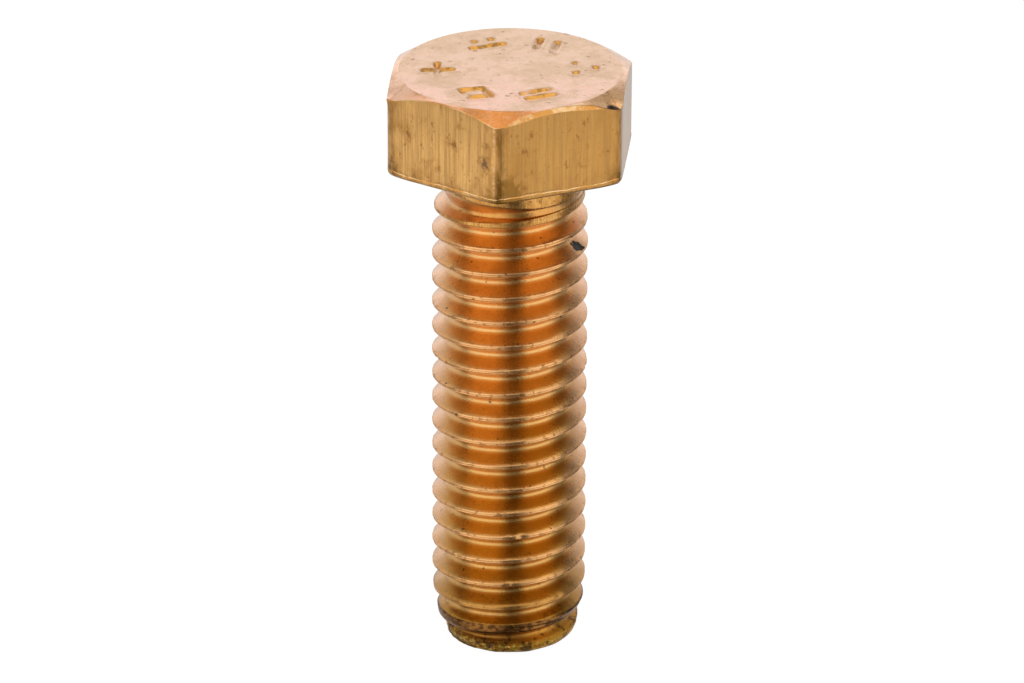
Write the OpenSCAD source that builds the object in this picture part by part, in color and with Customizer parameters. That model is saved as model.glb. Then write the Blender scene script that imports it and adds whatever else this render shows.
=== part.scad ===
// Hex head bolt in silicon bronze, 3/8-16 UNC x 1-1/4 in, threaded right up to the head.
//
// The frame: the origin is the centre of the bearing face under the head. +Z runs up
// through the head, and the shank hangs down along -Z. Two flats of the head face +X and
// -X, so two of its corners point along +Y and -Y. All sizes are in millimetres.
//
// A bolt is forged and rolled from one length of bar, so it is one piece of metal.

/* [Head] */
// Distance between two opposite flats of the head
across_flats = 14.15; // [13.8:0.05:14.5]
// Distance between two opposite corners, measured over the blunted corner edges
across_corners = 16.1; // [15.6:0.05:16.3]
// Height of the head above its bearing face
head_height = 5.75; // [4.5:0.05:7]
// Diameter of the flat round face on top of the head
top_face_d = 13.5; // [12:0.05:14]
// Slope of the top chamfer, measured from the top face, in degrees
chamfer_slope = 34.5; // [25:0.5:40]
// Size of the small bevel round the bottom of the corners
corner_bevel = 0.25; // [0.1:0.05:0.6]
// Radius of the fillet between the bearing face and the neck
fillet_r = 0.5; // [0.3:0.05:0.6]

/* [Thread] */
// Length of the shank from the bearing face to the tip
shank_length = 31.6; // [18.9:3.175:44.3]
// Diameter over the thread's crests
major_d = 9.49; // [9.3:0.01:9.6]
// Distance from one crest to the next, 16 threads to the inch
pitch = 1.5875; // [1.4:0.0125:1.6]
// Width of the flat left on a crest
crest_flat = 0.2; // [0.12:0.01:0.3]
// Radius of the rounded root
root_r = 0.22; // [0.15:0.01:0.26]

/* [Run-out under the head] */
// Diameter of the plain neck that the groove runs out into
neck_d = 9.04; // [8.8:0.02:9.2]
// Depth below the bearing face at which the groove begins
groove_start = 1.62; // [1.2:0.02:3]
// Direction in which the groove begins, anticlockwise from +X seen from above, in degrees
groove_start_angle = 340; // [0:5:355]
// Turns that the groove takes to reach its full depth
runout_turns = 0.45; // [0.3:0.05:1.2]
// Turns over which the crests rise from the neck to their full height
swell_turns = 1.9; // [0.5:0.1:2.5]
// Extra width of the groove's upper side in its first turn, where it opens out of the neck
lead_in_width = 0.65; // [0:0.05:0.65]
// How far below its helix the groove begins
start_drop = 0.26; // [0:0.02:0.26]

/* [Tip] */
// Diameter of the flat face at the tip
tip_face_d = 7.4; // [6.6:0.1:7.6]
// Diameter at the shoulder where the tip's steep bevel ends
tip_shoulder_d = 8.3; // [7.9:0.1:8.8]
// Length of the shallow taper that lowers the last crests
tip_taper = 2.3; // [1:0.1:3]

/* [Hidden] */

flank_angle = 30;            // a unified thread's flanks stand 60 degrees apart
flat_facets = 6;             // sides of the head
round_facets = 96;           // facets of a true circle, cone or torus when it is drawn
turn_steps = 40;             // facets of the thread in one turn

// Depth of the groove at the edges of its rounded root, and at the root's lowest line.
// The root's arc meets both flanks without a corner.
root_edge = root_r * cos(flank_angle);
flank_depth = (pitch - crest_flat - 2 * root_edge) / 2 / tan(flank_angle);
root_drop = root_r * (1 - sin(flank_angle));

// Radius of the metal at the edges of the rounded root, where the thread has its full form.
full_bed_r = major_d / 2 - flank_depth;

// Turns at which the extra width of the groove's upper side is reached, begins to shrink
// and has gone again.
lead_in_full = 0.4;
lead_in_shrinks = 0.5;
lead_in_gone = 1;

// Turns at which the groove begins to rise to its helix, and has reached it.
drop_shrinks = 0.3;
drop_gone = 0.65;

// The thread's strip is longer than the shank: it starts inside the head and ends below
// the tip, where the envelope of the tip cuts it off.
strip_above = 1.25 * pitch;
strip_below = 1.5 * pitch;
first_step = -ceil(turn_steps * (groove_start + strip_above) / pitch);
last_step = ceil(turn_steps * (shank_length - groove_start + strip_below) / pitch);

// A smooth rise from 0 to 1 while t goes from 0 to 1, and level outside that.
function ease(t) = let (c = max(0, min(1, t))) c * c * (3 - 2 * c);

// How far the groove has been pressed in at a step along the helix, from 0 to 1.
function pressed(step) = ease(step / (turn_steps * runout_turns));

// Radius of the metal between the grooves, which swells from the neck to the full crests.
function crest_r(step) =
    (neck_d + (major_d - neck_d) * ease(step / (turn_steps * swell_turns))) / 2;

// Extra width of the groove's upper side at a step along the helix.
function lead_in(step) =
    let (turns = step / turn_steps)
    lead_in_width
        * ease(turns / lead_in_full)
        * ease((lead_in_gone - turns) / (lead_in_gone - lead_in_shrinks));

// How far the groove lies below its helix at a step.
function drop(step) =
    start_drop * ease((drop_gone - step / turn_steps) / (drop_gone - drop_shrinks));

// The groove's section at one step: five points from its upper edge to its lower edge,
// each the height above the groove's centre line and the distance from the bolt's axis.
function groove_section(step) =
    let (
        bed_r = neck_d / 2 - (neck_d / 2 - full_bed_r) * pressed(step),
        half_width = root_edge + (crest_r(step) - bed_r) * tan(flank_angle),
        half_turn = turn_steps / 2
    )
    [
        [half_width + lead_in(step), crest_r(step - half_turn)],
        [root_edge, bed_r],
        [0, bed_r - root_drop * pressed(step)],
        [-root_edge, bed_r],
        [-half_width, crest_r(step + half_turn)]
    ];

// A point of the section, turned to its place on the right-hand helix.
function on_helix(step, point) =
    let (
        angle = groove_start_angle - 360 * step / turn_steps,
        height = -groove_start - pitch * step / turn_steps - drop(step)
    )
    [point[1] * cos(angle), point[1] * sin(angle), height + point[0]];

// The hexagon of the head, with two of its flats facing +X and -X.
module hexagon() {
    rotate(90) circle(d = across_flats / cos(180 / flat_facets), $fn = flat_facets);
}

// The head as it would be turned on a lathe: the top chamfer, the blunted corners and
// the bevel round the bottom.
module head_turning() {
    corner_r = across_corners / 2;
    top_r = top_face_d / 2;
    chamfer_drop = (corner_r - top_r) * tan(chamfer_slope);
    rotate_extrude($fn = round_facets)
        polygon([
            [0, 0],
            [corner_r - corner_bevel, 0],
            [corner_r, corner_bevel],
            [corner_r, head_height - chamfer_drop],
            [top_r, head_height],
            [0, head_height]
        ]);
}

module head() {
    intersection() {
        linear_extrude(head_height) hexagon();
        head_turning();
    }
}

// The concave fillet under the head. Its arc is set a little into the neck, so that the
// two surfaces cross at an angle.
module neck_fillet() {
    bite = 0.05;
    arc_centre_r = neck_d / 2 - bite + fillet_r;
    inner_r = neck_d / 2 - fillet_r;
    overlap = 0.5;
    rotate_extrude($fn = round_facets)
        difference() {
            translate([inner_r, -fillet_r]) square([arc_centre_r - inner_r, fillet_r + overlap]);
            translate([arc_centre_r, -fillet_r]) circle(fillet_r, $fn = round_facets);
        }
}

// The threaded bar as one closed strip wound along the helix. The lower edge of each
// groove and the upper edge of the groove one turn further on bound the crest.
module threaded_bar() {
    rows = 5;
    closing_step = last_step - turn_steps;
    points = [
        for (step = [first_step : last_step])
            for (point = groove_section(step)) on_helix(step, point)
    ];
    top_centre = [0, 0, -groove_start - pitch * (first_step / turn_steps + 0.5)];
    tip_centre = [0, 0, -groove_start - pitch * (last_step / turn_steps - 0.5)];
    top_index = len(points);
    tip_index = top_index + 1;

    // Number of a point. The row after a groove's last is the next groove's first.
    function index(step, row) =
        row < rows ? (step - first_step) * rows + row : index(step + turn_steps, 0);

    // The loop of points round the end of the bar that starts at a step.
    function end_loop(start) = [
        for (step = [start : start + turn_steps]) index(step, 0),
        for (row = [rows - 1 : -1 : 1]) index(start, row)
    ];
    top_loop = end_loop(first_step);
    tip_loop = end_loop(closing_step);
    loop_size = len(top_loop);

    skin = [
        for (step = [first_step : closing_step - 1])
            for (row = [0 : rows - 1])
                for (face = [
                    [index(step, row), index(step + 1, row + 1), index(step + 1, row)],
                    [index(step, row), index(step, row + 1), index(step + 1, row + 1)]
                ]) face
    ];
    top_cap = [
        for (k = [0 : loop_size - 1]) [top_index, top_loop[k], top_loop[(k + 1) % loop_size]]
    ];
    tip_cap = [
        for (k = [0 : loop_size - 1]) [tip_index, tip_loop[(k + 1) % loop_size], tip_loop[k]]
    ];
    polyhedron(
        points = concat(points, [top_centre, tip_centre]),
        faces = concat(skin, top_cap, tip_cap),
        convexity = 10
    );
}

// What the tip's bevels leave: everything inside this shape stays.
module tip_envelope() {
    clear_r = major_d;
    shoulder_z = -shank_length + (tip_shoulder_d - tip_face_d) / 2;
    taper_slope = (major_d - tip_shoulder_d) / 2 / tip_taper;
    taper_rise = (clear_r - tip_shoulder_d / 2) / taper_slope;
    clear_top = max(shoulder_z + taper_rise, 0) + 2 * pitch;
    rotate_extrude($fn = round_facets)
        polygon([
            [0, -shank_length],
            [tip_face_d / 2, -shank_length],
            [tip_shoulder_d / 2, shoulder_z],
            [clear_r, shoulder_z + taper_rise],
            [clear_r, clear_top],
            [0, clear_top]
        ]);
}

module hex_bolt() {
    color("peru")
        union() {
            head();
            neck_fillet();
            intersection() {
                threaded_bar();
                tip_envelope();
            }
        }
}

hex_bolt();
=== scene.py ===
"""A bronze hex head bolt in a white studio.

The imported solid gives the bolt's sizes and place. One closed mesh takes its place here: the
hexagonal head with its stamped marks, the neck, the thread as a true helix, and the tip.
Lengths are in millimetres until the mesh is made, and angles are in radians.
"""

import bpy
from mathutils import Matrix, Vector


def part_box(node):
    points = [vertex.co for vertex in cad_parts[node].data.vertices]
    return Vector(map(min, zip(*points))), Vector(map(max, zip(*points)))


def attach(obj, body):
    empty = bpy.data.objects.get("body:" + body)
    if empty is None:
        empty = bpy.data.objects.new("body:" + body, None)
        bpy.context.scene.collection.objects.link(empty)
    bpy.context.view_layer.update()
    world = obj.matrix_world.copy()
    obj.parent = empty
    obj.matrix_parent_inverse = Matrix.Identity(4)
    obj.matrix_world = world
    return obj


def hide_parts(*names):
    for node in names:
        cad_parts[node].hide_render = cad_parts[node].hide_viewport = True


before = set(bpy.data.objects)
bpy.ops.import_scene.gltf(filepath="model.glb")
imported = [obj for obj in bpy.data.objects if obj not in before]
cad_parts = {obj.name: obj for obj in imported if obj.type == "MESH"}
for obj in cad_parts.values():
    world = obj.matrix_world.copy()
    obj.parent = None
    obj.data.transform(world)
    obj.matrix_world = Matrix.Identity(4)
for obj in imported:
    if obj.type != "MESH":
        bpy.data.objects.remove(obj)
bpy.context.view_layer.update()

import math

import bmesh
import bpy
import numpy as np
from mathutils import Quaternion, Vector, noise

MM = 0.001

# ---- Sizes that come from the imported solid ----

NODE = "hex_bolt"
lowest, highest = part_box(NODE)
ACROSS_FLATS = (highest[0] - lowest[0]) / MM
ACROSS_CORNERS = (highest[1] - lowest[1]) / MM
HEAD_HEIGHT = highest[2] / MM
SHANK_LENGTH = -lowest[2] / MM

# ---- The head ----

TOP_R = 6.75                          # the flat round face on top
TOP_LEAN = 0.2                        # how far the top face leans down to the front
TOP_EDGE_DROP = 0.03                  # rounding of the top face's edge
CHAMFER = math.radians(34.5)          # slope of the chamfer from the top face
SIDE_INSET = 0.014                    # how far the sides lie inside the solid
BOTTOM_ROUND = 0.22                   # radius of the lower edge along a flat
CORNER_ROUND = 0.12                   # how much that radius grows at a corner
FILLET = 0.5                          # radius under the head
WORN_LIP = 0.26                       # width of the worn bevel at the front right
EDGE_HIGHLIGHT_WIDTH = 0.25                    # width of the painted highlight by the front corner, in degrees
HEAD_COLUMNS_PER_SIDE = 54

# The numbers of the bolt's materials.
TOP, CHAMFERED, SIDE, SHANK, LIP = range(5)

# ---- The thread, as the solid has it ----

PITCH = 1.5875
MAJOR_R = 9.49 / 2
CREST_FLAT = 0.2
ROOT_ROUND = 0.22
FLANK = math.radians(30)
NECK_R = 9.04 / 2
GROOVE_START = 1.62
GROOVE_START_ANGLE = math.radians(340)
RUNOUT_TURNS = 0.45
SWELL_TURNS = 1.9
LEAD_IN_WIDTH = 0.65
START_DROP = 0.26
TURN_STEPS = 160

ROOT_EDGE = ROOT_ROUND * math.cos(FLANK)
FLANK_DEPTH = (PITCH - CREST_FLAT - 2 * ROOT_EDGE) / 2 / math.tan(FLANK)
BED_R = MAJOR_R - FLANK_DEPTH
ROOT_DROP = ROOT_ROUND * (1 - math.sin(FLANK))

# ---- The view ----

VIEW_AZIMUTH = math.radians(5.4)
VIEW_ELEVATION = math.radians(23.4)
VIEW_ROLL = math.radians(0.24)
VIEW_DISTANCE = 383.0
VIEW_SIDE = 0.15                      # where the view is centred, to the right of the axis
VIEW_HEIGHT = -12.235                 # and its height
LENS = 219.8
SENSOR = 36.0


def smooth_step(low, high, value):
    """0 below low, 1 above high, and a smooth rise between."""
    t = np.clip((value - low) / (high - low), 0.0, 1.0)
    return t * t * (3 - 2 * t)


def lumps(x, y, z, size, seed=0.0):
    """Smooth noise from about -1 to 1, whose lumps are about size across."""
    return noise.noise(Vector((x / size + seed, y / size - seed, z / size + 2 * seed)))


def lumps_at(points, size, seed=0.0):
    """lumps() at each row of an array of points."""
    return np.array([lumps(x, y, z, size, seed) for x, y, z in points])


# ---- Stamped marks: plain bars, dots, a cross and a diamond, with no meaning ----

MARK_RING_R = 4.4                     # radius of the ring that the marks stand on
MARK_DEPTH = 0.26
MARK_STROKE = 0.27                    # half the width of a stroke
MARK_LIP_WIDTH = 0.12
MARK_LIP_HEIGHT = 0.04


def bar(u0, v0, u1, v1):
    """A straight stroke from (u0, v0) to (u1, v1)."""
    return (u0, v0, u1, v1)


def dot(u, v):
    """A stroke with no length."""
    return (u, v, u, v)


def diamond(w, h):
    """Four strokes, with corners w to either side of the middle and h above and below it."""
    corners = [(0, h), (w, 0), (0, -h), (-w, 0)]
    return [bar(*corners[k], *corners[(k + 1) % 4]) for k in range(4)]


# Each mark's place round the ring, and its strokes: across, then outward from the axis.
MARKS = [
    (math.radians(-62), [bar(-0.85, 0.4, 0.85, 0.4), bar(-0.85, -0.45, 0.85, -0.45)]),
    (math.radians(-112), diamond(1.0, 0.8)),
    (math.radians(-172), [bar(-1.0, 0, 1.0, 0), bar(0, -0.85, 0, 0.85)]),
    (math.radians(116), [bar(-1.0, -0.45, 1.0, -0.45), dot(-0.55, 0.5), dot(0.55, 0.5)]),
    (math.radians(66), [bar(-0.8, -0.7, -0.4, 0.7), bar(0.35, -0.7, 0.8, 0.7)]),
    (math.radians(8), [dot(0, 0.75), dot(-0.75, -0.5), dot(0.75, -0.5)]),
]


def distance_to_bar(u, v, stroke):
    """Distance from points (u, v) to the middle line of one stroke."""
    u0, v0, u1, v1 = stroke
    du, dv = u1 - u0, v1 - v0
    squared = du * du + dv * dv
    along = np.clip(((u - u0) * du + (v - v0) * dv) / squared, 0, 1) if squared else 0.0
    return np.hypot(u - u0 - along * du, v - v0 - along * dv)


def mark_distance(x, y):
    """Distance from points of the top face to the middle line of the nearest stroke."""
    nearest = np.full_like(x, np.inf)
    for angle, strokes in MARKS:
        out = x * math.cos(angle) + y * math.sin(angle) - MARK_RING_R
        side = -x * math.sin(angle) + y * math.cos(angle)
        for stroke in strokes:
            nearest = np.minimum(nearest, distance_to_bar(side, out, stroke))
    return nearest


def pressed_mark(x, y):
    """How deep the marks are pressed at points of the top face, from 0 to 1."""
    return 1 - smooth_step(MARK_STROKE * 0.25, MARK_STROKE, mark_distance(x, y))


def stamped(x, y):
    """The marks at points of the top face, each from 0 to 1: how deep they are pressed, how
    much of a wall that faces the front is there, and the raised lip round them."""
    pressed = pressed_mark(x, y)
    reach = MARK_STROKE / 2
    wall = np.clip(pressed_mark(x, y - reach) - pressed_mark(x, y + reach), 0, 1)
    lip = np.exp(-(((mark_distance(x, y) - MARK_STROKE * 1.5) / MARK_LIP_WIDTH) ** 2))
    return pressed, wall, lip


# ---- Knocks on the head ----

# A notch just left of the front right corner, pressed into the chamfer.
NOTCH = Vector((6.6, -4.2, 4.9))
NOTCH_SIZE = 0.55
NOTCH_DEPTH = 0.4

# A dark blot on the left side, close to the front corner.
BLOT = Vector((-0.8, -7.65, 2.5))
BLOT_SIZE = 0.42

# A bead of metal squeezed out at the top of the left corner.
BEAD = Vector((-6.95, -4.0, 4.75))
BEAD_SIZE = 0.24
BEAD_HEIGHT = 0.1

# A dark speck of dirt in a dent on the second crest, to the right.
SPECK = Vector((4.4, -1.15, -5.05))
SPECK_SIZE = 0.52
SPECK_DEPTH = 0.12


def nearness(points, centre, size):
    """1 at a centre, falling smoothly to 0 over about twice the size."""
    gap = points - np.array(centre)
    return np.exp(-(gap * gap).sum(axis=-1) / size ** 2)


# ---- The head's surface ----


def head_angles():
    """Angles of the head's columns, closer together at the corners."""
    t = (np.arange(HEAD_COLUMNS_PER_SIDE) + 0.5) / HEAD_COLUMNS_PER_SIDE * 2 - 1
    spread = t * (1.2 - 0.2 * t * t)
    side = np.arctan(math.tan(math.pi / 6) * spread)
    return np.concatenate([side + math.radians(60) * k for k in range(6)])


def outline(angles):
    """Distance from the axis to the hexagon, with its corners blunted."""
    side = (angles + math.pi / 6) % (math.pi / 3) - math.pi / 6
    flat = ACROSS_FLATS / 2 / np.cos(side)
    blunt = ACROSS_CORNERS / 2
    blend = 0.2                           # how softly the one runs into the other
    h = np.clip(0.5 + (blunt - flat) / (2 * blend), 0, 1)
    return blunt * (1 - h) + flat * h - blend * h * (1 - h)


class Head:
    """The head as rings of points from the top's centre out, down and under to the neck.

    Each ring is (points, material number, mark, corner, land and ridge values). The
    mark value shows the stamped marks on the top face, where it picks out the walls that face
    the front for their painted reflection, the notch on the chamfer and the blot on the sides.
    A land is the blunted edge of a corner. A painted highlight runs down the left edge of the
    front one."""

    def __init__(self):
        self.angles = head_angles()
        self.cos, self.sin = np.cos(self.angles), np.sin(self.angles)
        self.edge_r = outline(self.angles)
        flat, blunt = ACROSS_FLATS / 2, ACROSS_CORNERS / 2
        self.corner = smooth_step(flat + 0.45, blunt - 0.02, self.edge_r)
        self.land = smooth_step(blunt - 0.04, blunt - 0.015, self.edge_r)
        self.front = smooth_step(0.8, 0.97, -self.sin)
        # A painted highlight runs down the left edge of the front corner, where the flat meets the
        # land.
        land_edge = math.degrees(math.acos(ACROSS_FLATS / ACROSS_CORNERS))
        side = (np.degrees(self.angles) + 30) % 60 - 30
        self.ridge = self.front * np.exp(-(((side - land_edge) / EDGE_HIGHLIGHT_WIDTH) ** 2))
        # Where the chamfer would meet the sides.
        self.rim = HEAD_HEIGHT - (self.edge_r - TOP_R) * math.tan(CHAMFER)
        along = np.degrees(self.angles) - 270
        self.worn = WORN_LIP * smooth_step(0, 12, along) * (1 - smooth_step(42, 58, along))
        self.rings = []
        self.add_top()
        self.add_chamfer()
        self.add_lip()
        self.add_sides()
        self.add_lower_edge()
        self.add_underside()

    def around_at(self, r, height=0.0):
        """A ring of points at a distance from the axis and a height."""
        r = np.broadcast_to(r, self.angles.shape)
        return np.stack([r * self.cos, r * self.sin, 0 * r + height], axis=1)

    def add(self, r, z, material, mark=0.0):
        """Adds a ring, with the notch pressed into it and the bead raised on it."""
        points = self.around_at(r, z)
        notch = nearness(points, NOTCH, NOTCH_SIZE)
        if material == CHAMFERED:
            points[:, 2] -= NOTCH_DEPTH * notch
        bead = BEAD_HEIGHT * nearness(points, BEAD, BEAD_SIZE)
        points += np.stack([bead * self.cos, bead * self.sin, bead], axis=1)
        if material == SIDE:
            mark = nearness(points, BLOT, BLOT_SIZE)
        else:
            mark = np.maximum(mark, notch)
        self.rings.append((points, material, mark, self.corner, self.land, self.ridge))

    def top_z(self, r):
        """Height of the top face, which leans a little."""
        return HEAD_HEIGHT - TOP_LEAN * (1 - r * self.sin / TOP_R) / 2

    def add_top(self):
        """The top face with its stamped marks, and its softly rounded edge."""
        middle = np.linspace(0.12, 2.6, 11)
        marked = np.linspace(2.7, 6.1, 39)
        outer = np.linspace(6.22, TOP_R - 0.06, 5)
        for r in np.concatenate([middle, marked, outer]):
            spots = self.around_at(r)
            pressed, wall, lip = stamped(spots[:, 0], spots[:, 1])
            strike = np.clip(0.75 + 1.1 * lumps_at(spots, 0.9, 4.0), 0.15, 1)
            waves = 0.025 * lumps_at(spots, 2.2) + 0.011 * lumps_at(spots, 0.6, 7.0)
            z = self.top_z(r) - 0.026 + waves
            z = z - MARK_DEPTH * pressed * strike + MARK_LIP_HEIGHT * lip * strike
            # The mark value is mostly the wall that faces the front, which gets the painted
            # reflection and shade.
            mark = np.clip(wall + 0.2 * pressed, 0, 1) * strike
            self.add(r, np.minimum(z, HEAD_HEIGHT), TOP, mark)
        self.add(TOP_R, self.top_z(TOP_R) - TOP_EDGE_DROP, TOP)

    def chamfer_end(self):
        """Distance from the axis and height at which the chamfer ends and the lip begins."""
        inset = self.lip_inset()
        return self.edge_r - 0.08 - inset, self.rim + 0.05 + inset * math.tan(CHAMFER)

    def lip_inset(self):
        """How much further in the lip begins where it is worn."""
        return np.minimum(0.5 * self.worn, 0.2 * (self.edge_r - TOP_R))

    def add_chamfer(self):
        """The chamfer, which swells and dips a little."""
        start_z = self.top_z(TOP_R) - TOP_EDGE_DROP
        end_r, end_z = self.chamfer_end()
        for t in (0.05, 0.2, 0.36, 0.54, 0.72, 0.88):
            r = TOP_R + (end_r - TOP_R) * t
            spots = self.around_at(r)
            swell = 0.014 * lumps_at(spots, 1.5, 3.0) + 0.006 * lumps_at(spots, 0.4)
            self.add(r, start_z + (end_z - start_z) * t + swell, CHAMFERED)
        self.add(end_r, end_z, CHAMFERED)

    def add_lip(self):
        """The thin lip of metal along the top edges of the sides. It is worn to a wider bevel
        along the side at the front right."""
        edge_r, rim, worn = self.edge_r, self.rim, self.worn
        inset = self.lip_inset()
        lip = 0.012 + 0.012 * lumps_at(self.around_at(edge_r), 0.7, 5.0)
        self.add(edge_r - 0.035 - inset, rim + 0.024 + 0.6 * inset + 0.5 * lip, CHAMFERED)
        self.add(edge_r - 0.01 - 0.6 * inset, rim + 0.004 + lip, LIP)
        self.add(edge_r, rim - 0.02 - 0.7 * worn + lip, LIP)
        self.add(edge_r - 0.004, rim - 0.045 - 0.9 * worn + 0.5 * lip, SIDE)

    def bottom_round(self):
        """Radius of the lower edge, which is larger at a corner, but less so at the front."""
        return BOTTOM_ROUND + CORNER_ROUND * self.corner * (1 - 0.7 * self.front)

    def add_sides(self):
        """The upright sides, which are a little rough."""
        rows = 12
        top = self.rim - 0.09 - self.worn
        low = self.bottom_round() + 0.35
        self.add(self.edge_r - SIDE_INSET, top, SIDE)
        for t in np.arange(1, rows + 1) / rows:
            z = top + (low - top) * t
            rough = 0.01 * lumps_at(self.around_at(self.edge_r, 0.3 * z.mean()), 0.8)
            self.add(self.edge_r - SIDE_INSET + rough, z, SIDE)

    def add_lower_edge(self):
        """A ragged crease and a bead of metal along the bottom, and the rounded edge."""
        edge_r, round_r = self.edge_r, self.bottom_round()
        spots = self.around_at(edge_r)
        ragged = lumps_at(spots, 1.1, 9.0) + 0.4 * lumps_at(spots, 0.35, 2.0)
        crease = np.clip(0.03 + 0.07 * ragged, 0.0, 0.1)
        level = round_r + 0.13 + 0.07 * ragged
        self.add(edge_r - 0.01 - 0.3 * crease, level + 0.1, SIDE)
        self.add(edge_r - 0.01 - crease, level + 0.03, SIDE)
        self.add(edge_r - 0.01 - crease, level, SIDE)
        self.add(edge_r - 0.3 * crease, level - 0.05, LIP)
        for turn in np.radians([5, 30, 52, 74, 90]):
            r = edge_r - round_r * (1 - math.cos(turn))
            self.add(r, round_r * (1 - math.sin(turn)), SIDE)

    def add_underside(self):
        """The bearing face and the fillet, down to where the neck's cylinder begins."""
        face_r = self.edge_r - self.bottom_round()
        fillet_r = NECK_R - 0.05 + FILLET
        for t in (0.15, 0.4, 0.7, 1.0):
            self.add(face_r * (1 - t) + fillet_r * t, 0.0, SHANK)
        for turn in np.radians([20, 38, 56, 72]):
            self.add(fillet_r - FILLET * math.sin(turn), -FILLET * (1 - math.cos(turn)), SHANK)


# ---- The thread's surface ----


def pressed_in(turns):
    """How far the groove is pressed in, turns after it begins."""
    return smooth_step(0.0, RUNOUT_TURNS, turns)


def crest_radius(turns):
    """Radius of the metal between the grooves, which swells from the neck to the crests."""
    return NECK_R + (MAJOR_R - NECK_R) * smooth_step(0.0, SWELL_TURNS, turns)


def bed_radius(turns):
    """Radius at the edges of the rounded root."""
    return NECK_R - (NECK_R - BED_R) * pressed_in(turns)


def lower_width(turns):
    """Height from the groove's middle down to its lower edge."""
    return ROOT_EDGE + (crest_radius(turns) - bed_radius(turns)) * math.tan(FLANK)


def upper_width(turns):
    """Height from the groove's middle up to its upper edge, which opens out at first."""
    opening = smooth_step(0.0, 0.4, turns) * (1 - smooth_step(0.5, 1.0, turns))
    return lower_width(turns) + LEAD_IN_WIDTH * opening


def groove_height(turns):
    """Height of the groove's middle, which begins a little below its helix."""
    drop = START_DROP * (1 - smooth_step(0.3, 0.65, turns))
    return -GROOVE_START - PITCH * turns - drop


def half_crest(turns):
    """Half the width of the crest above the groove."""
    apart = groove_height(turns - 1) - groove_height(turns)
    return (apart - lower_width(turns - 1) - upper_width(turns)) / 2


# For each row from the middle of the crest above the groove to the groove's middle: how many
# turns back its crest radius is read, and its nearness to a crest.
ROW_SHARE = (0.5, 0.5, 0.5, 0.5, 0.45, 0.37, 0.25, 0.12, 0.0, 0.0, 0.0)
ROW_CREST = (1.0, 1.0, 1.0, 1.0, 0.7, 0.0, 0.0, 0.0, 0.0, 0.0, 0.0)
SEAM = 0.05                           # depth of the seam along the middle of a crest
EDGE = 0.035                          # rounding of a crest's edges
FLANK_ROWS = (0.25, 0.5, 0.75)


def half_section(turns, wide, crest, seam):
    """Half of the groove's section: heights from the groove's middle and depths under the
    crest, as columns from the middle of the crest to the middle of the groove."""
    depth = crest_radius(turns) - bed_radius(turns)
    edge = np.minimum(EDGE, 0.3 * crest)
    slope = depth / (wide - ROOT_EDGE + 0.01)
    root_drop = ROOT_DROP * pressed_in(turns)
    zero = np.zeros_like(turns)
    columns = [
        (wide + crest, seam),
        (wide + 0.5 * crest, zero),
        (wide + edge, zero + 0.002),
        (wide + 0.1 * edge, zero + 0.012),
        (wide - edge, edge * slope),
    ]
    for t in FLANK_ROWS:
        columns.append((wide + (ROOT_EDGE - wide) * t, depth * t))
    columns.append((zero + ROOT_EDGE, depth))
    columns.append((zero + 0.5 * ROOT_EDGE, depth + 0.72 * root_drop))
    columns.append((zero, depth + root_drop))
    heights, drops = zip(*columns)
    return np.stack(heights, axis=1), np.stack(drops, axis=1)


def seam_depth(turns):
    """The seam comes and goes along the crest above the groove."""
    z = -GROOVE_START - PITCH * (turns - 0.5)
    angle = GROOVE_START_ANGLE - 2 * math.pi * turns
    spots = np.stack([MAJOR_R * np.cos(angle), MAJOR_R * np.sin(angle), z], axis=1)
    return SEAM * np.clip(0.75 + 1.1 * lumps_at(spots, 0.9, 6.0), 0.1, 1.5)


# ---- The tip's surface ----

# Heights above the tip's face, and the largest radius that the tip's bevels leave there.
TIP_PROFILE = [
    (0.0, 3.7), (0.05, 3.89), (0.14, 4.01), (0.3, 4.15), (0.6, 4.26), (0.95, 4.31),
    (1.52, 4.42), (2.0, 4.47), (2.4, 4.64), (3.1, 4.69), (3.9, MAJOR_R),
    (2 * SHANK_LENGTH, 3 * MAJOR_R),
]
TIP_CUT = 0.3                         # how much deeper the tip's bevel is on the left


def tip_radius(height):
    """Largest radius that the tip's bevels leave at a height above the tip's face."""
    heights, radii = zip(*TIP_PROFILE)
    return np.interp(height, heights, radii)


def left_cut(angles, height):
    """How much deeper the bevel is at an angle and at a height above the tip's face."""
    leftward = (1 - np.cos(angles - VIEW_AZIMUTH)) / 2
    rows = smooth_step(0.0, 0.15, height) * (1 - smooth_step(0.55, 0.95, height))
    return TIP_CUT * leftward[:, None] ** 2 * rows


# ---- The threaded bar ----

TURNS_ABOVE = 2.2                     # turns that run past the neck
TURNS_BELOW = 1.8                     # and past the tip


def wound(r, angles, z):
    """Points at distances from the axis and heights, each row of them at its own angle."""
    return np.stack([r * np.cos(angles)[:, None], r * np.sin(angles)[:, None], z], axis=2)


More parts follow.
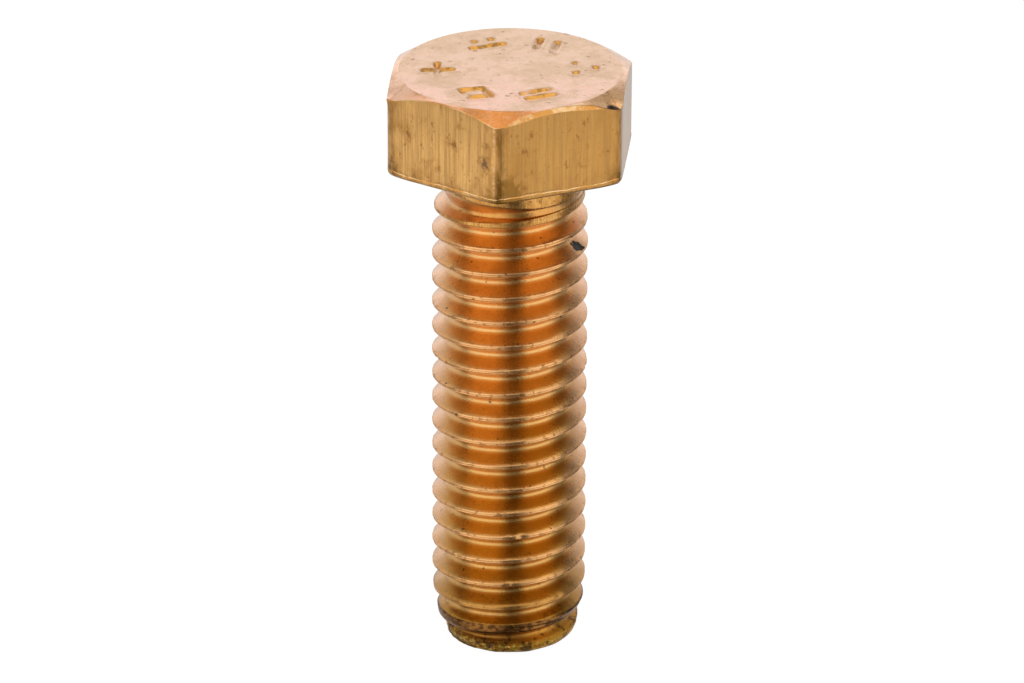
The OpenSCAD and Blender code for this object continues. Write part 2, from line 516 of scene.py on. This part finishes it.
def thread_strip():
    """The threaded bar as a strip of rows that follow the helix down.

    Gives points[step, row], and for each of them its nearness to a crest, to the brushed
    metal under the head and to the dark speck."""
    first = -math.ceil(TURN_STEPS * TURNS_ABOVE)
    last = math.ceil(TURN_STEPS * ((SHANK_LENGTH - GROOVE_START) / PITCH + TURNS_BELOW))
    turns = np.arange(first, last + 1) / TURN_STEPS
    angles = GROOVE_START_ANGLE - 2 * math.pi * turns
    upper = half_section(turns, upper_width(turns), half_crest(turns), seam_depth(turns))
    lower = half_section(turns, lower_width(turns), half_crest(turns + 1), 0 * turns)
    down = slice(-2, 0, -1)               # the lower half, without the groove's middle and crest
    height = np.concatenate([upper[0], -lower[0][:, down]], axis=1)
    drop = np.concatenate([upper[1], lower[1][:, down]], axis=1)
    share = np.array(ROW_SHARE + tuple(-v for v in ROW_SHARE[down]))
    near = np.array(ROW_CREST + ROW_CREST[down]) + 0 * height

    # A crest belongs to two grooves, so its radius is read half a turn to either side.
    crest_turns = turns[:, None] - share
    z = groove_height(turns)[:, None] + height
    r = crest_radius(crest_turns) - drop

    even = wound(r, angles, z)
    speck = nearness(even, SPECK, SPECK_SIZE)

    # The crests are rougher than the flanks, and have nicks.
    flat = even.reshape(-1, 3)
    fine = lumps_at(flat, 0.45).reshape(r.shape)
    coarse = lumps_at(flat, 1.6, 3.0).reshape(r.shape)
    nick = smooth_step(0.45, 0.75, lumps_at(flat, 0.5, 11.0).reshape(r.shape))
    r = r + near * (0.018 * fine + 0.008 * coarse - 0.06 * nick) + (1 - near) * 0.003 * fine
    z = z + near * (0.02 * coarse + 0.008 * fine)

    # The tip's bevels cut the last crests. What they cut counts as crest for the materials.
    above_tip = z + SHANK_LENGTH
    limit = tip_radius(np.maximum(above_tip, 0)) - left_cut(angles, above_tip)
    trimmed = smooth_step(-0.2, 0.0, r - limit) * smooth_step(0.5, 0.7, above_tip)
    near = np.maximum(near, trimmed)
    r = np.minimum(r, limit)
    rough_tip = smooth_step(0.0, 0.12, above_tip) * (1 - smooth_step(0.3, 1.3, above_tip))
    r = r + rough_tip * (0.03 * fine - 0.02)

    # The speck lies in a dent. The metal under the head is bare and brushed.
    r = r - SPECK_DEPTH * speck
    band = (1 - smooth_step(0.9, 1.4, crest_turns)) * (1 - smooth_step(0.03, 0.1, drop))

    # Rows past either end are drawn in to that end's ring, and merge there.
    top, tip = -FILLET, -SHANK_LENGTH
    r = np.where(z >= top, NECK_R, r)
    r = np.where(z <= tip, tip_radius(0.0), r)
    return wound(r, angles, np.clip(z, tip, top)), near, band, speck


# ---- The whole bolt as one mesh ----

VALUES = ("mark", "corner", "land", "ridge", "crest", "seam", "band", "speck")
MERGE = 1e-4 * MM                     # vertices closer than this become one


def add_head(bm, vertex):
    """Adds the head, and gives the ring of vertices in which it ends."""
    rings = Head().rings
    columns = len(rings[0][0])
    centre = vertex((0, 0, rings[0][0][:, 2].mean()))
    previous = None
    for points, material, mark, corner, land, ridge in rings:
        ring = [
            vertex(p, mark=m, corner=c, land=w, ridge=e)
            for p, m, c, w, e in zip(points, mark, corner, land, ridge)
        ]
        for k in range(columns):
            after = (k + 1) % columns
            if previous is None:
                face = bm.faces.new((centre, ring[k], ring[after]))
            else:
                face = bm.faces.new((previous[k], ring[k], ring[after], previous[after]))
            face.material_index = material
        previous = ring
    return previous


def add_thread(bm, vertex):
    """Adds the thread. The last row of a turn is the first row of the next turn."""
    points, near, band, speck = thread_strip()
    steps, rows = near.shape
    grid = [
        [
            vertex(
                points[s, k], crest=near[s, k], seam=float(k == 0), band=band[s, k],
                speck=speck[s, k],
            )
            for k in range(rows)
        ]
        for s in range(steps)
    ]
    for s in range(steps - TURN_STEPS - 1):
        here = grid[s] + [grid[s + TURN_STEPS][0]]
        there = grid[s + 1] + [grid[s + 1 + TURN_STEPS][0]]
        for k in range(rows):
            face = bm.faces.new((here[k], there[k], there[k + 1], here[k + 1]))
            face.material_index = SHANK
    loose = [v for v in bm.verts if not v.link_faces]
    bmesh.ops.delete(bm, geom=loose, context="VERTS")
    strip = [v for row in grid for v in row if v.is_valid]
    bmesh.ops.remove_doubles(bm, verts=strip, dist=MERGE)
    bmesh.ops.dissolve_degenerate(bm, edges=bm.edges[:], dist=MERGE)


def open_loop(bm, z):
    """The open edges at a height."""
    return [
        e for e in bm.edges
        if e.is_boundary and all(abs(v.co.z - z * MM) < 10 * MERGE for v in e.verts)
    ]


def join_neck(bm, head_loop):
    """Bridges the head's last ring to the top of the thread."""
    neck_loop = open_loop(bm, -FILLET)
    head_edges = dict.fromkeys(e for v in head_loop for e in v.link_edges if e.is_boundary)
    bridged = bmesh.ops.bridge_loops(bm, edges=[*head_edges, *neck_loop])
    for face in bridged["faces"]:
        face.material_index = SHANK


def close_tip(bm):
    """Fills the tip's end with a flat face of a few rings."""
    tip_loop = open_loop(bm, -SHANK_LENGTH)
    face = bmesh.ops.edgeloop_fill(bm, edges=tip_loop)["faces"][0]
    face.material_index = SHANK
    for inset in (0.3, 0.8, 1.2):
        bmesh.ops.inset_region(bm, faces=[face], thickness=inset * MM)
    bmesh.ops.poke(bm, faces=[face])


def build_bolt():
    """The closed mesh, with its values for the materials as vertex attributes."""
    bm = bmesh.new()
    layers = {name: bm.verts.layers.float.new(name) for name in VALUES}

    def vertex(point, **values):
        v = bm.verts.new(Vector(point) * MM)
        for name, value in values.items():
            v[layers[name]] = float(value)
        return v

    head_loop = add_head(bm, vertex)
    add_thread(bm, vertex)
    join_neck(bm, head_loop)
    close_tip(bm)
    bmesh.ops.recalc_face_normals(bm, faces=bm.faces)
    for face in bm.faces:
        face.smooth = True
    mesh = bpy.data.meshes.new("hex_bolt_surface")
    bm.to_mesh(mesh)
    bm.free()
    bolt = bpy.data.objects.new("bronze_bolt", mesh)
    bpy.context.scene.collection.objects.link(bolt)
    return bolt


# ---- Materials ----

FILM_IOR = 1.36
FILM_ROUGHNESS = 0.25


class Shader:
    """Builds one material's nodes. A socket or a plain number may be given as an input."""

    def __init__(self, name):
        self.material = bpy.data.materials.new(name)
        self.material.use_nodes = True
        self.tree = self.material.node_tree
        self.surface = self.tree.nodes["Principled BSDF"]
        place = self.node("ShaderNodeTexCoord").outputs["Object"]
        self.place = self.scaled(place, (1 / MM, 1 / MM, 1 / MM))

    def node(self, kind, **settings):
        made = self.tree.nodes.new(kind)
        for name, value in settings.items():
            setattr(made, name, value)
        return made

    def plug(self, socket, value):
        if isinstance(value, bpy.types.NodeSocket):
            self.tree.links.new(value, socket)
        else:
            socket.default_value = value

    def scaled(self, vector, factors):
        made = self.node("ShaderNodeVectorMath", operation="MULTIPLY")
        self.plug(made.inputs[0], vector)
        made.inputs[1].default_value = factors
        return made.outputs[0]

    def part(self, axis):
        """The place along one of the axes X, Y and Z, in mm."""
        made = self.node("ShaderNodeSeparateXYZ")
        self.plug(made.inputs[0], self.place)
        return made.outputs[axis]

    def from_axis(self):
        """Distance from the bolt's axis, in mm."""
        made = self.node("ShaderNodeVectorMath", operation="LENGTH")
        self.plug(made.inputs[0], self.scaled(self.place, (1, 1, 0)))
        return made.outputs["Value"]

    def value(self, name):
        """One of the mesh's own values."""
        return self.node("ShaderNodeAttribute", attribute_name=name).outputs["Fac"]

    def noise(self, stretch, detail=3.0, rough=0.55):
        """Noise whose lumps are 1 / stretch mm across on each axis."""
        made = self.node("ShaderNodeTexNoise")
        self.plug(made.inputs["Vector"], self.scaled(self.place, stretch))
        made.inputs["Scale"].default_value = 1.0
        made.inputs["Detail"].default_value = detail
        made.inputs["Roughness"].default_value = rough
        return made.outputs["Fac"]

    def between(self, value, low, high, out_low=0.0, out_high=1.0):
        """Maps low..high smoothly to out_low..out_high."""
        made = self.node("ShaderNodeMapRange", interpolation_type="SMOOTHSTEP")
        self.plug(made.inputs["Value"], value)
        made.inputs["From Min"].default_value = low
        made.inputs["From Max"].default_value = high
        made.inputs["To Min"].default_value = out_low
        made.inputs["To Max"].default_value = out_high
        return made.outputs["Result"]

    def near_tip(self, far, near, out_far=0.0, out_near=1.0):
        """Maps heights above the tip's face, from far down to near, to out_far..out_near."""
        z = self.part("Z")
        return self.between(z, far - SHANK_LENGTH, near - SHANK_LENGTH, out_far, out_near)

    def maths(self, operation, a, b):
        made = self.node("ShaderNodeMath", operation=operation)
        self.plug(made.inputs[0], a)
        self.plug(made.inputs[1], b)
        return made.outputs[0]

    def times(self, a, b):
        return self.maths("MULTIPLY", a, b)

    def plus(self, a, b):
        return self.maths("ADD", a, b)

    def blend(self, amount, a, b):
        """Colour a where amount is 0 and colour b where it is 1."""
        made = self.node("ShaderNodeMix", data_type="RGBA")
        self.plug(made.inputs["Factor"], amount)
        for name, colour in (("A", a), ("B", b)):
            socket = [s for s in made.inputs if s.name == name and s.type == "RGBA"][0]
            self.plug(socket, colour if isinstance(colour, bpy.types.NodeSocket) else (*colour, 1))
        return [s for s in made.outputs if s.type == "RGBA"][0]

    def bump(self, height, distance_mm, strength=1.0, under=None):
        made = self.node("ShaderNodeBump")
        made.inputs["Strength"].default_value = strength
        made.inputs["Distance"].default_value = distance_mm * MM
        self.plug(made.inputs["Height"], height)
        if under is not None:
            self.plug(made.inputs["Normal"], under)
        return made.outputs["Normal"]

    def finish(self, colour, roughness, normal, film=1.0):
        """Metal under a thin clear film of oxide, which pales it at a slant."""
        self.surface.inputs["Metallic"].default_value = 1.0
        self.surface.inputs["Coat IOR"].default_value = FILM_IOR
        self.surface.inputs["Coat Roughness"].default_value = FILM_ROUGHNESS
        self.plug(self.surface.inputs["Coat Weight"], film)
        self.plug(self.surface.inputs["Base Color"], colour)
        self.plug(self.surface.inputs["Roughness"], roughness)
        self.plug(self.surface.inputs["Normal"], normal)
        self.plug(self.surface.inputs["Coat Normal"], normal)
        return self.material


def top_metal():
    """The pale, pinkish top face, with a painted golden reflection and painted shade on the walls
    of the stamped marks that face the front.
    """
    s = Shader("top_face_bronze")
    clouds = s.noise((0.45, 0.45, 0.45), 4.0)
    colour = s.blend(s.between(s.part("Y"), 4.0, -6.0), (0.87, 0.54, 0.33), (1.0, 0.58, 0.41))
    colour = s.blend(s.between(clouds, 0.40, 0.60, 0.0, 0.8), colour, (0.80, 0.49, 0.26))
    patches = s.between(s.noise((0.9, 0.9, 0.9), 6.0, 0.75), 0.48, 0.64)
    colour = s.blend(s.times(patches, 0.4), colour, (0.70, 0.41, 0.20))
    dirt = s.noise((1.9, 1.9, 1.9), 3.0, 0.6)
    colour = s.blend(s.between(dirt, 0.64, 0.72, 0.0, 0.85), colour, (0.52, 0.23, 0.06))
    hair = s.noise((0.7, 4.5, 1.0), 3.0, 0.6)
    colour = s.blend(s.between(hair, 0.66, 0.70, 0.0, 0.5), colour, (0.62, 0.32, 0.16))
    # Painted reflection and shade: the walls of the marks that face the front are painted golden,
    # and dark in patches.
    wall = s.between(s.value("mark"), 0.12, 0.6)
    colour = s.blend(wall, colour, (0.90, 0.43, 0.08))
    dark = s.times(wall, s.between(s.noise((1.3, 1.3, 1.3)), 0.47, 0.64))
    colour = s.blend(s.times(dark, 0.75), colour, (0.26, 0.12, 0.02))
    grain = s.noise((9, 9, 9), 4.0, 0.65)
    pits = s.between(dirt, 0.66, 0.74)
    scratch = s.noise((1.2, 14, 1), 2.0)
    normal = s.bump(grain, 0.028)
    normal = s.bump(s.noise((3, 3, 3), 4.0, 0.6), 0.035, under=normal)
    normal = s.bump(scratch, 0.008, under=normal)
    normal = s.bump(s.times(pits, -1.0), 0.06, under=normal)
    return s.finish(colour, s.between(clouds, 0.3, 0.7, 0.30, 0.40), normal)


def chamfer_metal():
    """The chamfer: orange at the front, with a painted golden highlight at the front right, and
    pinker elsewhere.
    """
    s = Shader("chamfer_bronze")
    front = s.between(s.part("Y"), -3.0, -7.0)
    colour = s.blend(front, (1.0, 0.60, 0.39), (0.90, 0.32, 0.065))
    # Painted highlight: golden on the chamfer at the front right, where it catches the lamps.
    front_right_highlight = s.times(s.between(s.part("X"), 1.8, 3.0), s.between(s.part("Y"), -1.0, -3.0))
    colour = s.blend(front_right_highlight, colour, (0.96, 0.55, 0.25))
    patches = s.between(s.noise((1.2, 1.2, 1.2), 5.0, 0.65), 0.45, 0.65)
    colour = s.blend(s.times(patches, 0.5), colour, (0.62, 0.27, 0.06))
    pale = s.between(s.noise((3.0, 3.0, 3.0), 4.0, 0.7), 0.52, 0.66)
    colour = s.blend(s.times(pale, 0.4), colour, (0.98, 0.60, 0.36))
    notch = s.between(s.value("mark"), 0.3, 0.5)
    colour = s.blend(notch, colour, (0.05, 0.02, 0.008))
    grain = s.noise((7, 7, 7), 4.0, 0.65)
    return s.finish(colour, s.between(grain, 0.3, 0.7, 0.26, 0.40), s.bump(grain, 0.025))


def stained(s, colour):
    """The brown stains, dots and the dark blot on the sides of the head."""
    stains = s.between(s.noise((0.5, 0.5, 0.4), 5.0, 0.65), 0.50, 0.66)
    colour = s.blend(s.times(stains, 0.6), colour, (0.46, 0.21, 0.03))
    spots = s.noise((1.3, 1.3, 1.0), 4.0, 0.6)
    colour = s.blend(s.between(spots, 0.55, 0.66, 0.0, 0.55), colour, (0.46, 0.20, 0.025))
    colour = s.blend(s.between(spots, 0.64, 0.69, 0.0, 0.8), colour, (0.28, 0.11, 0.015))
    dots = s.between(s.noise((3.0, 3.0, 2.4), 2.0, 0.5), 0.65, 0.70)
    colour = s.blend(s.times(dots, 0.6), colour, (0.30, 0.12, 0.02))
    ragged = s.between(s.noise((4, 4, 4), 3.0), 0.3, 0.7, -0.25, 0.25)
    blot = s.plus(s.value("mark"), ragged)
    colour = s.blend(s.between(blot, 0.15, 0.5, 0.0, 0.6), colour, (0.36, 0.15, 0.02))
    return s.blend(s.between(blot, 0.55, 0.75, 0.0, 0.9), colour, (0.12, 0.06, 0.045))


def stain_at_foot(s):
    """Where the feet of the corners are brown, most of all to the right of the front one."""
    foot = s.times(s.value("corner"), s.between(s.part("Z"), 1.4, 0.7))
    foot = s.times(foot, s.between(s.noise((2.2, 2.2, 2.0), 4.0), 0.34, 0.54))
    spill = s.times(s.between(s.part("X"), -0.3, 0.1), s.between(s.part("X"), 2.0, 1.0))
    spill = s.times(spill, s.between(s.part("Z"), 2.2, 1.2))
    spill = s.times(spill, s.between(s.noise((1.8, 1.8, 1.8), 4.0), 0.36, 0.54))
    return s.maths("MAXIMUM", foot, spill)


def side_metal():
    """The drawn sides of the head: gold, with upright lines and brown stains, and a painted
    highlight by the front corner.
    """
    s = Shader("side_bronze")
    fine = s.noise((9, 9, 0.22), 3.0, 0.6)
    broad = s.noise((1.3, 1.3, 0.1), 3.0, 0.6)
    right_side = s.between(s.part("X"), -0.2, 0.6)
    colour = s.blend(right_side, (0.82, 0.45, 0.13), (0.58, 0.285, 0.053))
    colour = s.blend(s.between(s.part("Z"), 2.4, 4.4, 0.0, 0.3), colour, (0.44, 0.22, 0.05))
    colour = s.blend(s.between(broad, 0.45, 0.70, 0.0, 0.35), colour, (0.62, 0.33, 0.085))
    colour = s.blend(s.between(fine, 0.42, 0.66, 0.0, 0.6), colour, (0.48, 0.24, 0.055))
    colour = stained(s, colour)
    worn = s.times(s.value("corner"), s.between(s.noise((1.0, 1.0, 0.5), 5.0), 0.36, 0.56))
    colour = s.blend(s.times(worn, 0.7), colour, (0.44, 0.19, 0.025))
    low = s.between(s.part("Z"), 1.6, 0.2)
    low = s.times(low, s.between(s.noise((1.1, 1.1, 0.8), 4.0), 0.40, 0.6))
    colour = s.blend(s.times(low, 0.6), colour, (0.46, 0.19, 0.03))

    # The blunted edges of the corners, and a painted highlight down the left edge of the front
    # one, broken in places.
    land = s.value("land")
    rubbed = s.noise((3, 3, 0.9), 4.0, 0.6)
    land_colour = s.blend(s.between(rubbed, 0.40, 0.62), (0.58, 0.29, 0.04), (0.90, 0.51, 0.16))
    colour = s.blend(s.times(land, 0.9), colour, land_colour)
    highlight_breaks = s.noise((3.0, 3.0, 3.5), 3.0, 0.6)
    ridge = s.times(s.value("ridge"), s.between(highlight_breaks, 0.42, 0.58, 0.0, 0.6))
    colour = s.blend(ridge, colour, (0.88, 0.56, 0.34))
    colour = s.blend(s.times(stain_at_foot(s), 0.9), colour, (0.28, 0.12, 0.0))

    lines = s.plus(s.times(broad, 0.25), fine)
    dents = s.noise((1.6, 1.6, 1.6), 3.0)
    normal = s.bump(lines, 0.014)
    normal = s.bump(dents, 0.03, under=normal)
    roughness = s.plus(s.between(fine, 0.3, 0.7, 0.34, 0.46), s.times(land, 0.35))
    return s.finish(colour, roughness, normal)


def flank_colour(s, clouds, tip_shade_and_grime):
    """The thread's copper orange, which grows darker and browner down the shank and by the tip:
    painted shade for the light that falls off towards the floor, with the tip's grime. Either side
    gets a painted sheen and the root a painted highlight.
    """
    colour = s.blend(s.between(clouds, 0.35, 0.65), (0.80, 0.375, 0.09), (0.75, 0.34, 0.068))
    # Painted shade: darker and browner down the shank, for the light that falls off towards the
    # floor.
    lower_shade = s.between(s.part("Z"), -8.0, -26.0)
    colour = s.blend(s.times(lower_shade, 0.85), colour, (0.63, 0.315, 0.036))
    right_side = s.times(s.between(s.part("X"), -0.6, 1.4), s.between(s.part("X"), 4.5, 3.7))
    browner = s.times(right_side, s.between(s.part("Z"), -8.0, -17.0))
    colour = s.blend(s.times(browner, 0.85), colour, (0.53, 0.25, 0.022))
    # Darker and browner by the tip: painted shade near the floor, together with the tip's own
    # grime.
    colour = s.blend(s.times(tip_shade_and_grime, 0.9), colour, (0.46, 0.22, 0.02))
    mottle = s.between(s.noise((1.6, 1.6, 1.6), 5.0, 0.65), 0.48, 0.68)
    colour = s.blend(s.times(mottle, 0.45), colour, (0.58, 0.25, 0.035))
    dull = s.between(s.noise((4.5, 4.5, 4.5), 4.0, 0.65), 0.48, 0.62)
    colour = s.blend(s.times(dull, 0.3), colour, (0.50, 0.24, 0.04))
    grime = s.times(tip_shade_and_grime, s.between(s.noise((2.0, 2.0, 2.0), 5.0, 0.7), 0.50, 0.62))
    colour = s.blend(s.times(grime, 0.5), colour, (0.20, 0.09, 0.015))

    # Painted sheen: paler where the thread turns away at either side, standing in for the white
    # room reflected at a slant there. The rounded root is paler too, as a painted highlight.
    side_sheen = s.between(s.maths("ABSOLUTE", s.part("X"), 0.0), 3.35, 4.55)
    side_sheen = s.times(side_sheen, s.between(tip_shade_and_grime, 0.2, 1.0, 0.5, 0.1))
    colour = s.blend(side_sheen, colour, (0.87, 0.49, 0.33))
    # Painted highlight: the rounded root is painted paler, less so lower down.
    root = s.times(s.between(s.from_axis(), 4.0, 3.86), s.between(lower_shade, 0.0, 1.0, 0.5, 0.35))
    return s.blend(root, colour, (0.98, 0.58, 0.22))


def crest_colour(s, colour, tip_shade_and_grime):
    """Bright crests with a dark seam and knocks, and brushed metal under the head."""
    bright = s.times(s.value("crest"), s.between(tip_shade_and_grime, 0.3, 1.0, 0.7, 0.15))
    colour = s.blend(bright, colour, (0.98, 0.54, 0.24))
    lines = s.noise((11, 11, 0.3), 3.0)
    band = s.blend(s.between(lines, 0.40, 0.66), (0.76, 0.40, 0.11), (0.50, 0.24, 0.055))
    rusty = s.between(s.noise((1.3, 1.3, 0.6), 4.0), 0.50, 0.62)
    band = s.blend(s.times(rusty, 0.5), band, (0.50, 0.20, 0.04))
    colour = s.blend(s.value("band"), colour, band)
    broken = s.between(s.noise((1.6, 1.6, 1.6), 4.0, 0.6), 0.30, 0.55, 0.35, 1.0)
    seam = s.times(s.between(s.value("seam"), 0.15, 0.7), broken)
    seam = s.times(seam, s.between(s.value("band"), 0.0, 1.0, 0.85, 0.0))
    colour = s.blend(s.times(seam, 0.8), colour, (0.42, 0.16, 0.06))
    flecks = s.between(s.noise((2.6, 2.6, 2.6), 3.0, 0.5), 0.68, 0.73)
    colour = s.blend(s.times(flecks, 0.85), colour, (0.10, 0.045, 0.02))
    knocked = s.times(s.value("crest"), s.between(s.noise((3.0, 3.0, 3.0), 3.0), 0.56, 0.64))
    colour = s.blend(s.times(knocked, 0.6), colour, (0.30, 0.11, 0.03))

    # The last crest is nearly black.
    last = s.times(s.value("crest"), s.near_tip(2.9, 2.3))
    uneven = s.noise((2.2, 2.2, 4.0), 4.0, 0.65)
    dark = s.blend(s.between(uneven, 0.42, 0.60), (0.10, 0.04, 0.012), (0.30, 0.13, 0.03))
    return s.blend(s.between(last, 0.2, 0.6), colour, dark)


def tip_colour(s, colour, tip, end, patches):
    """The tip: brown and black, with green patches and painted golden glints by its end."""
    brown = s.blend(s.between(s.part("X"), 0.0, 3.0), (0.34, 0.14, 0.015), (0.66, 0.30, 0.03))
    colour = s.blend(s.times(tip, 0.9), colour, brown)
    green = s.times(end, s.between(patches, 0.50, 0.58))
    colour = s.blend(green, colour, (0.46, 0.33, 0.04))
    # Painted highlights: small golden glints by the tip's end.
    glints = s.between(s.noise((3.6, 3.6, 3.6), 3.0, 0.6), 0.52, 0.58)
    colour = s.blend(s.times(end, s.times(glints, 0.85)), colour, (0.95, 0.56, 0.10))
    dark = s.between(s.noise((1.7, 1.7, 1.7), 4.0, 0.6), 0.50, 0.60)
    colour = s.blend(s.times(tip, s.times(dark, 0.8)), colour, (0.08, 0.035, 0.012))
    rim = s.near_tip(0.18, 0.05)
    return s.blend(s.times(rim, 0.8), colour, (0.10, 0.05, 0.015))


def thread_metal():
    """The rolled thread: copper orange, with brushed metal under the head, a dark seam along
    the crests, a black speck, and a tip gone green and brown."""
    s = Shader("thread_bronze")
    clouds = s.noise((0.6, 0.6, 0.6), 4.0)
    patches = s.noise((2.4, 2.4, 2.4), 5.0, 0.7)
    # Nearness to the tip, for the painted shade there and the tip's grime.
    tip_shade_and_grime = s.near_tip(8.0, 2.2)
    tip = s.near_tip(1.9, 0.9)
    end = s.near_tip(1.0, 0.5)
    colour = flank_colour(s, clouds, tip_shade_and_grime)
    colour = crest_colour(s, colour, tip_shade_and_grime)
    colour = tip_colour(s, colour, tip, end, patches)
    ragged = s.between(s.noise((3, 3, 3), 2.0), 0.3, 0.7, -0.12, 0.12)
    speck = s.plus(s.value("speck"), ragged)
    speck_colour = s.blend(s.between(speck, 0.5, 1.0), (0.03, 0.02, 0.012), (0.06, 0.085, 0.08))
    colour = s.blend(s.between(speck, 0.3, 0.42), colour, speck_colour)

    normal = s.bump(s.noise((8, 8, 8), 3.0, 0.55), 0.006)
    normal = s.bump(s.noise((1.5, 9, 6), 4.0, 0.7), 0.009, under=normal)
    normal = s.bump(s.times(end, patches), 0.4, under=normal)
    roughness = s.plus(s.between(clouds, 0.3, 0.7, 0.24, 0.32), s.times(tip, 0.2))

    # The film is thinner down the shank, and on the tip, the crests and the speck.
    film = s.between(s.part("Z"), -12.0, -28.0, 1.0, 0.65)
    film = s.times(film, s.near_tip(3.4, 2.0, 1.0, 0.3))
    film = s.times(film, s.between(s.value("crest"), 0.3, 1.0, 1.0, 0.15))
    film = s.times(film, s.between(speck, 0.3, 0.42, 1.0, 0.1))
    return s.finish(colour, roughness, normal, film)


def lip_metal():
    """The thin lips of fresh metal along the edges of the head's sides."""
    s = Shader("lip_bronze")
    broken = s.noise((1.2, 1.2, 1.2), 4.0, 0.6)
    colour = s.blend(s.between(broken, 0.40, 0.58), (0.90, 0.58, 0.27), (0.72, 0.32, 0.06))
    colour = s.blend(s.value("mark"), colour, (0.14, 0.06, 0.015))
    grain = s.noise((9, 9, 9), 3.0, 0.6)
    return s.finish(colour, s.between(grain, 0.3, 0.7, 0.24, 0.36), s.bump(grain, 0.01))


# ---- The studio ----


def around(azimuth, distance, z=0.0):
    """A point at an azimuth from the camera's side, anticlockwise seen from above."""
    turn = VIEW_AZIMUTH + azimuth
    return Vector((distance * math.sin(turn), -distance * math.cos(turn), z)) * MM


def glowing(name, strength, grey=0.0):
    """A material that glows an even white, over a plain grey of its own."""
    material = bpy.data.materials.new(name)
    material.use_nodes = True
    surface = material.node_tree.nodes["Principled BSDF"]
    surface.inputs["Base Color"].default_value = (grey, grey, grey, 1)
    surface.inputs["Roughness"].default_value = 0.9
    surface.inputs["Specular IOR Level"].default_value = 0.0
    surface.inputs["Emission Color"].default_value = (1, 1, 1, 1)
    surface.inputs["Emission Strength"].default_value = strength
    return material


def make_sheet(name, points, faces, material):
    """A thin sheet that belongs to the studio and not to the bolt."""
    mesh = bpy.data.meshes.new(name)
    mesh.from_pydata(points, [], faces)
    mesh.materials.append(material)
    sheet = bpy.data.objects.new(name, mesh)
    bpy.context.scene.collection.objects.link(sheet)
    return sheet


FLOOR_REACH = 4.0                     # metres
FLOOR_GREY = 0.12
FLOOR_GLOW = 0.95


def make_floor():
    """A white floor under the tip, big enough to fill the view."""
    z = -SHANK_LENGTH * MM
    reach = FLOOR_REACH
    corners = [(-reach, -reach, z), (reach, -reach, z), (reach, reach, z), (-reach, reach, z)]
    material = glowing("white_floor", FLOOR_GLOW, FLOOR_GREY)
    floor = make_sheet("floor", corners, [(0, 1, 2, 3)], material)
    floor.visible_glossy = False


SCREEN_DISTANCE = 800.0
SCREEN_STEPS = 12


def make_screen(name, azimuths, elevations, glow):
    """A curved screen round the bolt that only its reflections see, given in degrees from
    the camera's side and from the horizon."""
    points = []
    for azimuth in np.linspace(*azimuths, SCREEN_STEPS + 1):
        for elevation in np.linspace(*elevations, SCREEN_STEPS + 1):
            rise = math.radians(elevation)
            level = SCREEN_DISTANCE * math.cos(rise)
            points.append(around(math.radians(azimuth), level, SCREEN_DISTANCE * math.sin(rise)))
    row = SCREEN_STEPS + 1
    faces = [
        (a * row + e, (a + 1) * row + e, (a + 1) * row + e + 1, a * row + e + 1)
        for a in range(SCREEN_STEPS) for e in range(SCREEN_STEPS)
    ]
    screen = make_sheet(name, points, faces, glowing(name, glow))
    screen.visible_camera = False
    screen.visible_diffuse = False
    screen.visible_shadow = False


# Each screen's azimuths, elevations and brightness. A lamp is bright, and a gap is dark.
SCREENS = {
    "front_low_gap": ((-8, 24), (-58, -30), 0.16),
    "front_gap": ((-8, 24), (-30, 50), 0.1),
    "left_gap": ((-98, -82), (-58, 25), 0.25),
    "left_upper_gap": ((-155, -100), (42, 58), 0.28),
    "right_gap": ((84, 124), (-58, 35), 0.24),
    "right_upper_gap": ((88, 168), (35, 54), 0.06),
    "floor_gap": ((-180, 180), (-90, -58), 0.06),
    "left_lamp": ((-80, -20), (-58, 55), 1.12),
    "right_lamp": ((26, 82), (-58, 54), 1.16),
    "right_top_lamp": ((60, 130), (54, 74), 1.4),
    "back_lamp": ((155, 205), (2, 34), 1.14),
    "top_lamp": ((-180, 180), (74, 90), 1.38),
}
ROOM_GLOW = 0.74


def make_studio():
    """The even glow of the room, the floor and the screens."""
    world = bpy.data.worlds.new("studio")
    world.use_nodes = True
    background = world.node_tree.nodes["Background"]
    background.inputs["Color"].default_value = (1, 1, 1, 1)
    background.inputs["Strength"].default_value = ROOM_GLOW
    bpy.context.scene.world = world
    bpy.context.scene.view_settings.view_transform = "Standard"
    make_floor()
    for name, (azimuths, elevations, glow) in SCREENS.items():
        make_screen(name, azimuths, elevations, glow)


def make_camera():
    """The camera looks down a little at a point near the middle of the bolt."""
    right = Vector((math.cos(VIEW_AZIMUTH), math.sin(VIEW_AZIMUTH), 0))
    target = (right * VIEW_SIDE + Vector((0, 0, VIEW_HEIGHT))) * MM
    level = VIEW_DISTANCE * math.cos(VIEW_ELEVATION)
    rise = Vector((0, 0, VIEW_DISTANCE * math.sin(VIEW_ELEVATION))) * MM
    data = bpy.data.cameras.new("camera")
    data.lens = LENS
    data.sensor_width = SENSOR
    data.clip_start = 0.01
    data.dof.use_dof = False
    camera = bpy.data.objects.new("camera", data)
    camera.location = target + around(0.0, level) + rise
    aim = (target - camera.location).to_track_quat("-Z", "Y")
    camera.rotation_euler = (aim @ Quaternion((0, 0, 1), VIEW_ROLL)).to_euler()
    bpy.context.scene.collection.objects.link(camera)
    bpy.context.scene.camera = camera


make_camera()
make_studio()
bolt = build_bolt()
for make_metal in (top_metal, chamfer_metal, side_metal, thread_metal, lip_metal):
    bolt.data.materials.append(make_metal())
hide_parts(NODE)
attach(bolt, "root")
